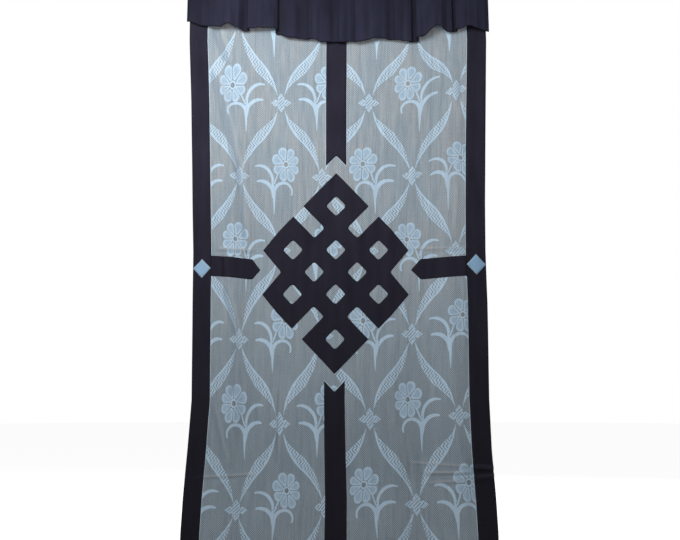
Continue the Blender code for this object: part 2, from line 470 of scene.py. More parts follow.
def fold_depth(across, drop):
    depth = np.zeros(np.broadcast(across, drop).shape)
    for middle, half_width, deepest, at_drop, half_length in FOLDS:
        fade = rounded_bump((drop - at_drop) / half_length)
        depth += deepest * fade * rounded_bump((across - middle) / half_width)
    return depth


def crease_height(across, drop, widest=1.0):
    """How far the creases up to a half width raise the cloth, which is below zero in a trough."""
    height = np.zeros(np.broadcast(across, drop).shape)
    for start_across, start_drop, end_across, end_drop, half_width, high in CREASES:
        if half_width > widest:
            continue
        way = np.array((end_across - start_across, end_drop - start_drop))
        length = np.hypot(*way)
        way /= length
        from_start = (across - start_across, drop - start_drop)
        along = (from_start[0] * way[0] + from_start[1] * way[1]) / length
        aside = from_start[0] * way[1] - from_start[1] * way[0]
        ends = smooth_rise(along / CREASE_FADE) * smooth_rise((1 - along) / CREASE_FADE)
        height += high * ends * np.exp(-((aside / half_width) ** 2))
    return height


def ripple_height(across, drop):
    height = np.zeros(np.broadcast(across, drop).shape)
    for waves_across, waves_down, start, high in RIPPLES:
        height += high * np.sin(2 * np.pi * (waves_across * across + waves_down * drop) + start)
    return height * smooth_rise(drop / RIPPLE_GROWTH)


def hang(across, drop):
    """Where places on the sheer hang, as an array of points."""
    left, middle, right = (read_table(HANG, index, drop) for index in (1, 2, 3))
    even = EVEN_HALF * (right - left) / WIDTH
    side = np.sign(across)
    border = np.where(across < 0, BORDER_LEFT, BORDER_RIGHT)
    beyond = (np.abs(across) - EVEN_HALF) / (WIDTH / 2 - border - EVEN_HALF)
    inner = middle + even * np.clip(across / EVEN_HALF, -1, 1)
    border_start = np.where(across < 0, left, right) - side * border
    x = inner + (border_start - inner) * np.clip(beyond, 0, 1)
    x = x + side * np.clip(np.abs(across) - (WIDTH / 2 - border), 0, None)
    y = fold_depth(across, drop) - crease_height(across, drop) - ripple_height(across, drop)
    return np.stack((x, y, -drop + 0 * x), axis=-1)


def outward(across, drop):
    """The direction square to the cloth, toward the front."""
    small = 0.0015
    along = hang(across + small, drop) - hang(across - small, drop)
    down = hang(across, drop + small) - hang(across, drop - small)
    normal = np.cross(along, down)
    normal /= np.linalg.norm(normal, axis=-1, keepdims=True)
    return np.where(normal[..., 1:2] > 0, -normal, normal)


def in_front(across, drop, lift):
    """Places "lift" in front of the sheer, square to it."""
    lift = np.broadcast_to(lift, np.shape(across))
    return hang(across, drop) + outward(across, drop) * lift[..., None]


# Meshes


def grid_faces(across, down):
    """The faces of a grid of points, numbered row by row, turned to face -Y."""
    numbers = np.arange(len(down) * len(across)).reshape(len(down), len(across))
    corners = (numbers[:-1, :-1], numbers[1:, :-1], numbers[1:, 1:], numbers[:-1, 1:])
    return np.stack([corner.ravel() for corner in corners], axis=1)


def outline_edges(faces):
    """The edges that belong to one face only, in that face's direction."""
    edges = np.concatenate([faces[:, [side, (side + 1) % 4]] for side in range(4)])
    _, first, uses = np.unique(np.sort(edges, axis=1), axis=0, return_index=True, return_counts=True)
    return edges[first[uses == 1]]


def new_object(name, data):
    made = bpy.data.objects.new(name, data)
    bpy.context.scene.collection.objects.link(made)
    return made


def new_piece(name, points, faces, material):
    mesh = bpy.data.meshes.new(name)
    mesh.from_pydata(points.tolist(), [], faces.tolist())
    mesh.materials.append(material)
    mesh.shade_smooth()
    return new_object(name, mesh)


def add_uv(piece, name, pairs):
    """A UV map from one pair of numbers for each point of the front. The back repeats them."""
    layer = piece.data.uv_layers.new(name=name)
    corners = np.zeros(len(piece.data.loops), np.int32)
    piece.data.loops.foreach_get("vertex_index", corners)
    layer.data.foreach_set("uv", pairs[corners % len(pairs)].astype(np.float32).ravel())


def add_numbers(piece, name, values):
    """A number for each point of the front. The back repeats them."""
    layer = piece.data.attributes.new(name, "FLOAT", "POINT")
    values = np.resize(values, len(piece.data.vertices))
    layer.data.foreach_set("value", values.astype(np.float32))


def add_crease_numbers(piece, flat):
    """The height of the sharp creases and of the soft drag folds, as shares of a full one."""
    sharp = crease_height(flat[:, 0], flat[:, 1], SHARP_CREASE)
    soft = crease_height(flat[:, 0], flat[:, 1]) - sharp
    add_numbers(piece, "crease", sharp / CREASE_FULL)
    add_numbers(piece, "drag", soft / DRAG_FULL)


def outline_runs(edges, flat):
    """The outline's stretches in order along each loop, each with its start's distance along that loop."""
    following = dict(edges.tolist())
    waiting = set(following)
    starts, ends, runs = [], [], []
    while waiting:
        point = min(waiting)
        run = 0.0
        while point in waiting:
            waiting.remove(point)
            after = following[point]
            starts.append(point)
            ends.append(after)
            runs.append(run)
            run += float(np.hypot(*(flat[after] - flat[point])))
            point = after
    return np.array(starts), np.array(ends), np.array(runs)


def measure_from_edge(flat, faces):
    """Each point's distance from a flat sheet's outline, and how far along it the nearest place is."""
    starts, ends, runs = outline_runs(outline_edges(faces), flat)
    stretch = flat[ends] - flat[starts]
    length = np.hypot(stretch[:, 0], stretch[:, 1])
    distance = np.empty(len(flat))
    beside = np.empty(len(flat))
    for first in range(0, len(flat), BATCH):
        batch = slice(first, first + BATCH)
        offset = flat[batch, None, :] - flat[starts][None]
        part = np.clip((offset * stretch).sum(2) / length**2, 0, 1)
        away = np.linalg.norm(offset - part[..., None] * stretch, axis=2)
        nearest = away.argmin(1)
        rows = np.arange(len(nearest))
        distance[batch] = away[rows, nearest]
        beside[batch] = runs[nearest] + part[rows, nearest] * length[nearest]
    return distance, beside


def flat_area(flat, faces):
    x, y = flat[faces][..., 0], flat[faces][..., 1]
    crossed = x * np.roll(y, -1, axis=1) - y * np.roll(x, -1, axis=1)
    return float(np.abs(crossed.sum(1)).sum() / 2)


def closed_sheet(name, front, back, faces, material):
    """One closed body from a front and a back of the same points, joined along their outline."""
    count = len(front)
    rim = outline_edges(faces)
    sides = np.stack((rim[:, 1], rim[:, 0], rim[:, 0] + count, rim[:, 1] + count), axis=1)
    whole = np.concatenate((faces, faces[:, ::-1] + count, sides))
    return new_piece(name, np.concatenate((front, back)), whole, material)


def applied_piece(name, flat, faces, lift, material):
    """A piece sewn on the front, with its turned edge a little thicker than its middle."""
    across, drop = flat[:, 0], flat[:, 1]
    distance, beside = measure_from_edge(flat, faces)
    height = read_table(PUFF, 1, distance)
    front = in_front(across, drop, lift + height)
    back = in_front(across, drop, lift + BACK_LIFT + 0 * height)
    piece = closed_sheet(name, front, back, faces, material)
    add_uv(piece, "cloth", flat)
    add_numbers(piece, "edge", distance)
    add_numbers(piece, "run", beside)
    add_crease_numbers(piece, flat)
    return piece


def evenly(start, end, step):
    return np.linspace(start, end, max(1, math.ceil((end - start) / step - ROUNDING)) + 1)


def joined(stretches):
    """Stretches of grid lines in one list, without the lines that two of them share."""
    return np.concatenate([stretches[0]] + [stretch[1:] for stretch in stretches[1:]])


def edged_lines(start, end, step=CELL):
    """Grid lines that lie closer together beside both ends."""
    steps = [distance for distance in EDGE_STEPS if distance < (end - start) / 2 - EDGE_ROOM]
    inner = evenly(start + steps[-1], end - steps[-1], step)
    near_start = [start] + [start + distance for distance in steps[:-1]]
    near_end = [end - distance for distance in reversed(steps[:-1])] + [end]
    return np.concatenate((near_start, inner, near_end))


def lines_down(start, end):
    """Rows down the cloth, finer where creases cross it."""
    stretches = []
    at = start
    for fine_start, fine_end in FINE_DROPS:
        low, high = max(fine_start, start), min(fine_end, end)
        if low >= high:
            continue
        if low > at:
            stretches.append(evenly(at, low, CELL))
        stretches.append(evenly(low, high, FINE_CELL))
        at = high
    if at < end:
        stretches.append(evenly(at, end, CELL))
    return joined(stretches)


def flat_grid(across, drops):
    """The points of a flat grid, and its faces."""
    wide, down = np.meshgrid(across, drops)
    return np.stack((wide.ravel(), down.ravel()), axis=1), grid_faces(across, drops)


# The pieces


def pattern_place(across, drop):
    """The place in the weave's pattern: columns from the pattern's start, and rows by where they hang."""
    rows = np.arange(len(ROW_DROPS))
    sideways, down = 0.0, 0.0
    for at_across, at_drop, half_width, half_length, shift_across, shift_down in DRIFTS:
        near = rounded_bump((across - at_across) / half_width) * rounded_bump((drop - at_drop) / half_length)
        sideways = sideways + shift_across * near
        down = down + shift_down * near
    across, drop = across - sideways, drop - down
    row = np.interp(drop, ROW_DROPS, rows)
    row = np.where(drop < ROW_DROPS[0], (drop - ROW_DROPS[0]) / ROW_PITCH_ABOVE, row)
    row = np.where(drop > ROW_DROPS[-1], rows[-1] + (drop - ROW_DROPS[-1]) / ROW_PITCH_BELOW, row)
    columns = np.arange(len(COLUMN_ACROSS)) + FIRST_COLUMN
    return np.stack((np.interp(across, COLUMN_ACROSS, columns), row), axis=1)


def sheer_panel(material):
    flat, faces = flat_grid(evenly(-WIDTH / 2, WIDTH / 2, CELL), lines_down(0.0, LENGTH))
    piece = new_piece("sheer_cloth", hang(flat[:, 0], flat[:, 1]), faces, material)
    add_uv(piece, "cloth", flat)
    add_uv(piece, "pattern", pattern_place(flat[:, 0], flat[:, 1]))
    add_crease_numbers(piece, flat)
    return piece, (WIDTH, LENGTH), None


def border(name, start, end, material):
    flat, faces = flat_grid(edged_lines(start, end), lines_down(0.0, LENGTH))
    piece = applied_piece(name, flat, faces, 0.0, material)
    return piece, (end - start, LENGTH), None


def notched_band(name, start, end, notch, at_end, material):
    """The middle band, whose inner end is cut to a V."""
    flat, faces = flat_grid(edged_lines(-BAND_HALF, BAND_HALF), lines_down(start, end))
    reach = smooth_rise(1 - np.abs(flat[:, 1] - (end if at_end else start)) / (2 * BAND_HALF))
    flat[:, 1] += reach * (notch["tips"] - notch["apex"]) * np.abs(flat[:, 0]) / BAND_HALF
    piece = applied_piece(name, flat, faces, 0.0, material)
    tips = (notch["tips"] - start) if at_end else (end - notch["tips"])
    return piece, (2 * BAND_HALF, tips), flat_area(flat, faces)


def arm(name, side, inner_edge, material):
    """A strip from the border toward the knot, with a pointed end."""
    tip = ARM_TIP + np.array(ARM_POINT["steps"])
    across = np.concatenate((tip, edged_lines(ARM_TIP + ARM_POINT["length"], inner_edge)))
    rows = edged_lines(-ARM_HALF, ARM_HALF) / ARM_HALF
    wide, part = np.meshgrid(across, rows)
    along = (inner_edge - wide) / (inner_edge - ARM_TIP)
    middle = ARM_DROP["border"] + (ARM_DROP["tip"] - ARM_DROP["border"]) * along
    half = ARM_HALF * np.clip(ARM_POINT["blunt"] + (wide - ARM_TIP) / (ARM_SHOULDER - ARM_TIP), 0, 1)
    flat = np.stack(((side * wide).ravel(), (middle + half * part).ravel()), axis=1)
    faces = grid_faces(across, rows)
    if side < 0:
        faces = faces[:, ::-1]
    piece = applied_piece(name, flat, faces, 0.0, material)
    return piece, (inner_edge - ARM_TIP, 2 * ARM_HALF), flat_area(flat, faces)


def diamond(name, middle_across, middle_drop, wide, material):
    """A square patch standing on its corner, as wide as its border."""
    half = wide / 2 - GAP
    lines = edged_lines(-half / math.sqrt(2), half / math.sqrt(2), DIAMOND_CELL) / (half * math.sqrt(2))
    a, b = np.meshgrid(lines, lines)
    flat = np.stack((middle_across + (a - b) * half, middle_drop + (a + b) * half * DIAMOND_TALL), axis=-1)
    flat = flat.reshape(-1, 2)
    faces = grid_faces(lines, lines)
    piece = applied_piece(name, flat, faces, PATCH_LIFT, material)
    return piece, (2 * half, 2 * half * DIAMOND_TALL), flat_area(flat, faces)


def on_strip(along, beside):
    """Whether the nearest strip covers each place. The two outer strips are four short loops."""
    strip = np.round(along)
    turned = beside * np.where(strip > 0, 1, -1)
    looped = np.zeros(np.shape(along), bool)
    for start in LOOP_STARTS:
        looped |= (turned >= start - STRIP_HALF) & (turned <= start + 1 + STRIP_HALF)
    return (np.abs(along - strip) <= STRIP_HALF) & ((np.abs(strip) < 2) | looped)


def knot_lines():
    """Lattice lines, closer together beside the edges of the five strips."""
    unit = KNOT_UNIT * math.sqrt(2)
    stretches = []
    for strip in range(-2, 3):
        stretches.append(edged_lines((strip - STRIP_HALF) * unit, (strip + STRIP_HALF) * unit, CELL) / unit)
        if strip < 2:
            stretches.append(evenly(strip + STRIP_HALF, strip + 1 - STRIP_HALF, CELL / unit))
    return joined(stretches)


def soften_corners(flat, faces, times):
    """Draws the outline's points toward their neighbours, which rounds its corners."""
    edges = outline_edges(faces)
    before, after = np.empty(len(flat), int), np.empty(len(flat), int)
    after[edges[:, 0]] = edges[:, 1]
    before[edges[:, 1]] = edges[:, 0]
    rim = np.unique(edges)
    for _ in range(times):
        middle = (flat[before[rim]] + flat[after[rim]]) / 2
        turn = np.linalg.norm(middle - flat[rim], axis=1, keepdims=True)
        flat[rim] += np.where(turn > SHARP_TURN, (middle - flat[rim]) * 0.5, 0.0)
    return flat


def endless_knot(material):
    """The knot, cut in one piece: a lattice of five strips each way with the cells between them left out."""
    lines = knot_lines()
    faces = grid_faces(lines, lines)
    p, q = (part.ravel() for part in np.meshgrid(lines, -lines))
    middle_p, middle_q = p[faces].mean(1), q[faces].mean(1)
    faces = faces[on_strip(middle_p, middle_q) | on_strip(middle_q, middle_p)]
    used, renumbered = np.unique(faces, return_inverse=True)
    faces = renumbered.reshape(-1, 4)
    sideways, down = (p + q)[used], (p - q)[used]
    over = np.clip(np.abs(sideways) - SIDE_CORNERS["from"], 0, None)
    sideways = sideways - np.sign(sideways) * over * (1 - SIDE_CORNERS["narrowed"])
    flat = np.stack((sideways * KNOT_UNIT, KNOT_DROP + down * KNOT_UNIT), axis=1)
    flat = soften_corners(flat, faces, 3)
    piece = applied_piece("knot_cloth", flat, faces, GAP, material)
    size = flat.max(0) - flat.min(0)
    return piece, tuple(size), flat_area(flat, faces)


def pleat_section(part_way):
    """A row across the valance: x, distance in front of the panel, the hem's drop, and 1 inside its tucks."""
    across, forward, hem = (np.array(column(PLEATS, index)) for index in range(3))
    opening = read_table(OPENING, 1, part_way)
    tucked = smooth_rise(part_way / TUCK["full_at"])
    x, front, drop, fold = [across[:1]], [forward[:1]], [hem[:1]], [np.zeros(1)]
    way = np.arange(1, PLEAT_CELLS + 1) / PLEAT_CELLS
    for place in range(len(PLEATS) - 1):
        step = across[place + 1] - across[place]
        sharp = step < SHARP_PLEAT
        tuck = max(TUCK["least"], step * TUCK["share"]) * tucked if sharp else 0.0
        x.append(across[place] + step * way + tuck * np.sin(2 * np.pi * way))
        fold.append(rounded_bump((way - 0.5) / 0.5) * sharp)
        rise = smooth_rise(way)
        front.append(forward[place] + (forward[place + 1] - forward[place]) * rise)
        drop.append(hem[place] + (hem[place + 1] - hem[place]) * rise)
    x = np.concatenate(x)
    gathers = sum(high * np.sin(2 * np.pi * waves * x + start) for waves, start, high in GATHERS)
    front = np.concatenate(front) * opening + gathers * smooth_rise(part_way)
    return x, front, np.concatenate(drop), np.concatenate(fold)


def valance_row(part_way):
    """A row's x, y, z, drop, distance to the hem, extra half thickness, tucks and distance in front."""
    x, front, hem, fold = pleat_section(part_way)
    drop = hem * part_way
    to_hem = hem - drop
    rolled = HEM_ROLL["back"] * smooth_rise(1 - to_hem / HEM_ROLL["within"])
    thick = HEM_FOLD["half"] * smooth_rise((VALANCE_HEM - to_hem) / HEM_FOLD["ramp"])
    y = fold_depth(x, drop) - VALANCE_LIFT - front + rolled
    return np.stack((x, y, -drop, drop, to_hem, thick, fold, front), axis=1)


def valance(material):
    """A pleated strip, sewn flat at the top edge and open at its hem, which is rolled back a little."""
    rows = [valance_row((row / VALANCE_ROWS) ** ROW_CROWDING) for row in range(VALANCE_ROWS + 1)]
    table = np.stack(rows)
    middle = table[..., :3]
    drop, to_hem, thick, fold, forward = np.moveaxis(table[..., 3:], -1, 0)
    normal = np.cross(np.gradient(middle, axis=0), np.gradient(middle, axis=1))
    normal /= np.linalg.norm(normal, axis=-1, keepdims=True)
    half = normal * (VALANCE_THICK / 2 + thick)[..., None]
    front, back = ((middle + offset).reshape(-1, 3) for offset in (half, -half))
    faces = grid_faces(middle[0], middle)
    piece = closed_sheet("valance_cloth", front, back, faces, material)
    run = np.concatenate(([0.0], np.linalg.norm(np.diff(middle[-1], axis=0), axis=1).cumsum()))
    flat = np.stack((np.broadcast_to(run, drop.shape), drop), axis=-1).reshape(-1, 2)
    add_uv(piece, "cloth", flat)
    add_numbers(piece, "edge", to_hem.ravel())
    add_numbers(piece, "run", flat[:, 0])
    # for the painted shade in the tucks and valleys: where the tucks are and how far back the cloth lies
    add_numbers(piece, "fold", fold.ravel())
    add_numbers(piece, "valley_shade", smooth_rise(1 - forward / VALLEY_DEPTH).ravel())
    deepest = max(column(PLEATS, 2))
    return piece, (float(run[-1]), deepest), flat_area(flat, faces)


# Node arithmetic


def operator(name, swapped=False):
    """A method of a wire that adds one Math node."""

    def apply(self, *others):
        values = (*others, self) if swapped else (self, *others)
        return add_math(self.tree, name, *values)

    return apply


class Wire:
    """A number in a material's node tree. Arithmetic on it adds Math nodes."""

    def __init__(self, tree, socket):
        self.tree = tree
        self.socket = socket

    def math(self, operation, *others):
        return add_math(self.tree, operation, self, *others)

    __add__ = __radd__ = operator("ADD")
    __sub__ = operator("SUBTRACT")
    __rsub__ = operator("SUBTRACT", swapped=True)
    __mul__ = __rmul__ = operator("MULTIPLY")
    __truediv__ = operator("DIVIDE")
    __abs__ = operator("ABSOLUTE")
    floor = operator("FLOOR")
    round = operator("ROUND")
    cos = operator("COSINE")
    sin = operator("SINE")
    least = operator("MINIMUM")
    most = operator("MAXIMUM")

    def part(self):
        """What is over the last whole number."""
        return self.math("FLOORED_MODULO", 1.0)

    def rise(self, start, end):
        """0 before the start, 1 after the end and a smooth step between them. The start may be the larger."""
        node = self.tree.nodes.new("ShaderNodeMapRange")
        node.interpolation_type = "SMOOTHSTEP"
        join(self.tree, self, node.inputs["Value"])
        node.inputs["From Min"].default_value = start
        node.inputs["From Max"].default_value = end
        return Wire(self.tree, node.outputs["Result"])

    def inside(self):
        """1 where a drawn shape's value is above zero, with a soft edge."""
        return self.rise(-SOFT_EDGE, SOFT_EDGE)


def join(tree, value, socket):
    if isinstance(value, Wire):
        tree.links.new(value.socket, socket)
    else:
        socket.default_value = value


def add_math(tree, operation, *values):
    node = tree.nodes.new("ShaderNodeMath")
    node.operation = operation
    for value, socket in zip(values, node.inputs):
        join(tree, value, socket)
    return Wire(tree, node.outputs[0])


def distance(x, y):
    return (x * x + y * y).math("SQRT")


def uv_wires(tree, name):
    source = tree.nodes.new("ShaderNodeUVMap")
    source.uv_map = name
    split = tree.nodes.new("ShaderNodeSeparateXYZ")
    tree.links.new(source.outputs["UV"], split.inputs[0])
    return Wire(tree, split.outputs["X"]), Wire(tree, split.outputs["Y"])


def attribute_wire(tree, name):
    source = tree.nodes.new("ShaderNodeAttribute")
    source.attribute_name = name
    return Wire(tree, source.outputs["Fac"])


def noises(across, drop, table):
    """Noises between 0 and 1, one for each row of a table."""
    tree = across.tree
    made = []
    for features_across, features_down, detail, seed in table:
        place = tree.nodes.new("ShaderNodeCombineXYZ")
        for value, socket in zip((across * features_across, drop * features_down, seed), place.inputs):
            join(tree, value, socket)
        node = tree.nodes.new("ShaderNodeTexNoise")
        node.inputs["Scale"].default_value = 1.0
        node.inputs["Detail"].default_value = detail
        tree.links.new(place.outputs[0], node.inputs["Vector"])
        made.append(Wire(tree, node.outputs["Fac"]))
    return made


def mix_colours(tree, part, first, second):
    """A colour between two, each a socket or a fixed colour. The node's colours are inputs 6 and 7."""
    node = tree.nodes.new("ShaderNodeMix")
    node.data_type = "RGBA"
    join(tree, part, node.inputs[0])
    for colour, socket in ((first, node.inputs[6]), (second, node.inputs[7])):
        if isinstance(colour, tuple):
            socket.default_value = (*colour, 1.0)
        else:
            tree.links.new(colour, socket)
    return node.outputs[2]


def layered(tree, colour, layers):
    """A colour with others laid over it in turn, each by its share."""
    for share, over in layers:
        colour = mix_colours(tree, share, colour, over)
    return colour


def crease_colours(tree, colour, name, shows, pale, dark):
    """A colour with a painted highlight on a crease's ridges and painted shade in its troughs."""
    start, full, ridge, trough = shows
    height = attribute_wire(tree, name)
    colour = mix_colours(tree, height.rise(start, full) * ridge, colour, pale)
    return mix_colours(tree, height.rise(-start, -full) * trough, colour, dark)


def curve_wire(value, rows, index, low, high):
    """A smooth curve through one column of a table, scaled to run between low and high."""
    tree = value.tree
    node = tree.nodes.new("ShaderNodeFloatCurve")
    curve = node.mapping.curves[0]
    while len(curve.points) < len(rows):
        curve.points.new(0.5, 0.5)
    for point, row in zip(curve.points, rows):
        point.location = (row[0], (row[index] - low) / (high - low))
    node.mapping.update()
    join(tree, value, node.inputs["Value"])
    return Wire(tree, node.outputs[0]) * (high - low) + low


def new_material(name, roughness, sheen):
    material = bpy.data.materials.new(name)
    material.use_nodes = True
    shader = material.node_tree.nodes["Principled BSDF"]
    shader.inputs["Roughness"].default_value = roughness
    shader.inputs["Sheen Weight"].default_value = sheen
    shader.inputs["Sheen Roughness"].default_value = 0.5
    shader.inputs["Specular IOR Level"].default_value = SPECULAR
    return material, material.node_tree, shader


def add_bump(tree, shader, height, strength, depth):
    node = tree.nodes.new("ShaderNodeBump")
    node.inputs["Strength"].default_value = strength
    node.inputs["Distance"].default_value = depth
    tree.links.new(height.socket, node.inputs["Height"])
    tree.links.new(node.outputs[0], shader.inputs["Normal"])


def weave_height(across, drop, yarn):
    """Over and under of a plain weave with that distance between its yarns."""
    warp = (across * (2 * math.pi / yarn)).sin()
    weft = (drop * (2 * math.pi / yarn)).sin()
    return warp * weft * 0.5 + 0.5


def stitches(edge, run, inset):
    """A row of stitches at a distance from the edge: 1 on the thread."""
    beside = abs(edge - inset).rise(*STITCH["thread"])
    return beside * abs((run / STITCH["length"]).part() - 0.5).rise(*STITCH["gap"])


# The weave's motifs, in units of about 3 mm from the middle of a cell


def petals(x, y):
    """The flower's eight petals and the ring in its middle: the light parts, and how dark each is shaded."""
    sideways = x - FLOWER["across"]
    up = (FLOWER["down"] - y) / FLOWER["taller"]
    away = distance(sideways, up)
    angle = up.math("ARCTAN2", sideways)
    angle = angle - (angle - math.radians(20)).sin() * math.radians(6)
    swollen = 1.0
    for times, turned_by, share in SWELLINGS:
        swollen = (angle * times + math.radians(turned_by)).cos() * share + swollen
    stretched = away / swollen
    sector = 2 * math.pi / FLOWER["petals"]
    turn = ((angle / sector).part() - 0.5) * sector
    out = stretched * turn.cos() - PETAL["middle"]
    beside = abs(stretched * turn.sin())
    half = (out * (PETAL["broader"] / PETAL["half_long"]) + 1) * PETAL["half_wide"]
    egg = (1 - distance(out / PETAL["half_long"], beside / half)) * PETAL["half_wide"]
    between = stretched * (sector / 2 - abs(turn)).sin() - PETAL["gap"]
    petal = egg.least(between)
    ring = RING["half"] - abs(away - RING["radius"])
    dots = (sideways * DOTS["waves"]).cos() * (up * DOTS["waves"]).cos() * (DOTS["radius"] - away)
    light = petal.inside().most(ring.inside()).most(dots.rise(*DOTS["edge"]) * DOTS["share"])
    veins = (beside * 2.9).cos().rise(0.35, 0.95) * out.rise(4.4, 1.5)
    shade = petal.rise(0.7, 1.7) * (0.45 + 0.4 * veins)
    return light, shade


def leaf(x, y, middle_x, middle_y, wide, tall, angle, half_span, widths):
    """A curved leaf: above zero inside it."""
    ex = (x - middle_x) / wide
    ey = (middle_y - y) / tall
    turn = math.radians(angle)
    ahead = ex * math.cos(turn) + ey * math.sin(turn)
    aside = ex * math.sin(turn) - ey * math.cos(turn)
    part = aside.math("ARCTAN2", ahead) / (2 * math.radians(half_span)) + 0.5
    start, middle, end = widths
    width = (part - 1) * (part * 2 - 1) * start + part * (1 - part) * (4 * middle)
    width = width + part * (part * 2 - 1) * end
    ends = part.rise(*LEAF_ENDS[0]) * part.rise(*LEAF_ENDS[1])
    away = abs(distance(ex, ey) - 1) * ((wide + tall) / 2)
    return width * ends - away - (1 - ends) * 2


def stalk(x, y, start_x, start_y, end_x, end_y, half_start, half_end):
    """A straight stalk that tapers: above zero inside it."""
    way_x, way_y = end_x - start_x, end_y - start_y
    part = ((x - start_x) * way_x + (y - start_y) * way_y) / (way_x**2 + way_y**2)
    part = part.most(0.0).least(1.0)
    away = distance(x - start_x - part * way_x, y - start_y - part * way_y)
    return part * (half_end - half_start) + half_start - away


def rosette(x, y):
    """A four-lobed star: above zero inside it. It takes distances from its middle, none below zero."""
    upright = (1 - x / 3.7 - abs(y - 4.7) / 5.0) * 2.9
    lying = (1 - abs(x - 5.7) / 4.9 - y / 3.6) * 2.9
    middle = (1 - (x + y) / 6.4) * 4.5
    return upright.most(lying).most(middle)


def ribbon(x, y, turned):
    """The light parts of a ribbon along the cell's edge. "turned" is 1 where it passes the other way."""
    length = math.hypot(CELL_HALF_WIDE, CELL_HALF_TALL)
    along = ((CELL_HALF_WIDE - x) * CELL_HALF_WIDE + y * CELL_HALF_TALL) / length**2
    inward = ((CELL_HALF_WIDE - x) * CELL_HALF_TALL - y * CELL_HALF_WIDE) / length
    along = along + turned * (1 - along * 2)
    inward = inward * (1 - turned * 2)
    solid_edge = curve_wire(along, RIBBON, 1, *RIBBON_RANGE)
    fret_edge = curve_wire(along, RIBBON, 2, *RIBBON_RANGE)
    inside = (inward - solid_edge).least(fret_edge - inward).inside()
    inside = inside * along.rise(*RIBBON_ENDS[0]) * along.rise(*RIBBON_ENDS[1])
    fret_x = x + turned * (CELL_HALF_WIDE - x * 2)
    fret_y = y + turned * (CELL_HALF_TALL - y * 2)
    period = FRET["long"] + FRET["short"]
    lean = (FRET["long"] - FRET["short"]) / period
    step = (fret_y / period).part() * period
    zigzag = (step * (1 - lean)).least((period - step) * (1 + lean)) + fret_y * lean
    lines = ((fret_x - zigzag) * (2 * math.pi / FRET["line"])).cos().rise(*LINE_EDGE)
    fretted = (inward - solid_edge - RIBBON_EDGE).inside()
    return inside * (1 - lines * fretted)


def jacquard(tree):
    """The weave's pattern: how much of each place is motif, and how far the motif is shaded there."""
    columns, rows = uv_wires(tree, "pattern")
    first = ((columns + rows) / 2).round()
    second = ((columns - rows) / 2).round()
    cell_column = first + second
    cell_row = first - second
    x = (columns - cell_column) * CELL_HALF_WIDE
    y = (rows - cell_row) * CELL_HALF_TALL
    far_x, far_y = abs(x), abs(y)

    turned = cell_column.math("FLOORED_MODULO", 2.0)
    ribbons = ribbon(far_x, far_y, turned)

    star = rosette(CELL_HALF_WIDE - far_x, far_y).most(rosette(far_x, CELL_HALF_TALL - far_y))
    diagonal = columns * CELL_HALF_WIDE + rows * CELL_HALF_TALL
    hatch = (diagonal * (2 * math.pi / HATCH_LINE)).cos().rise(*LINE_EDGE) * (star - ROSETTE_RIM).inside()
    stars = star.inside() * (1 - hatch)

    hand = ((cell_column + 1) / 2).floor().math("FLOORED_MODULO", 2.0) * 2 - 1
    flower_x = x * hand
    in_tenths = (cell_row - FIRST_FLOWER_ROW) * TENTH
    lower = curve_wire(in_tenths, FLOWER_ROWS, 1, *LOWER_RANGE)
    taller = curve_wire(in_tenths, FLOWER_ROWS, 2, *TALLER_RANGE)
    flower_y = y * (taller + 1) - lower
    light, shade = petals(flower_x, flower_y)
    strokes = leaf(flower_x, flower_y, *LEAVES[0])
    for row in LEAVES[1:]:
        strokes = strokes.most(leaf(flower_x, flower_y, *row))
    for row in STALKS:
        strokes = strokes.most(stalk(flower_x, flower_y, *row))
    motif = ribbons.most(stars).most(light).most(strokes.inside())
    return motif, shade * light


# The materials


def seams(across, drop):
    """1 on the pale line of sheer that shows beside the borders and the bands."""
    middle = (ARM_DROP["border"] + ARM_DROP["tip"]) / 2
    line = 0.0
    for inner_edge in (BORDER_LEFT - WIDTH / 2, WIDTH / 2 - BORDER_RIGHT):
        line = abs(across - inner_edge).rise(0.0026, 0.0014) + line
    line = line * abs(drop - middle).rise(ARM_HALF + 0.008, ARM_HALF + 0.010)
    beside_band = abs(abs(across) - BAND_HALF).rise(0.0022, 0.0012)
    line = line + beside_band * drop.rise(UPPER_NOTCH["tips"] + 0.001, UPPER_NOTCH["tips"])
    for notch in (UPPER_NOTCH, LOWER_NOTCH):
        slant = (notch["tips"] - notch["apex"]) / BAND_HALF
        beside_notch = abs(drop - abs(across) * slant - notch["apex"]).rise(0.0034, 0.0018)
        line = line + beside_notch * abs(across).rise(BAND_HALF, BAND_HALF - 0.001)
    return line


def warp_lines(across, drop):
    line = 0.0
    for place, start, end in WARP_LINES:
        near = abs(across - place).rise(0.0018, 0.0008)
        line = near * drop.rise(start, start + 0.05) * drop.rise(end, end - 0.05) + line
    return line


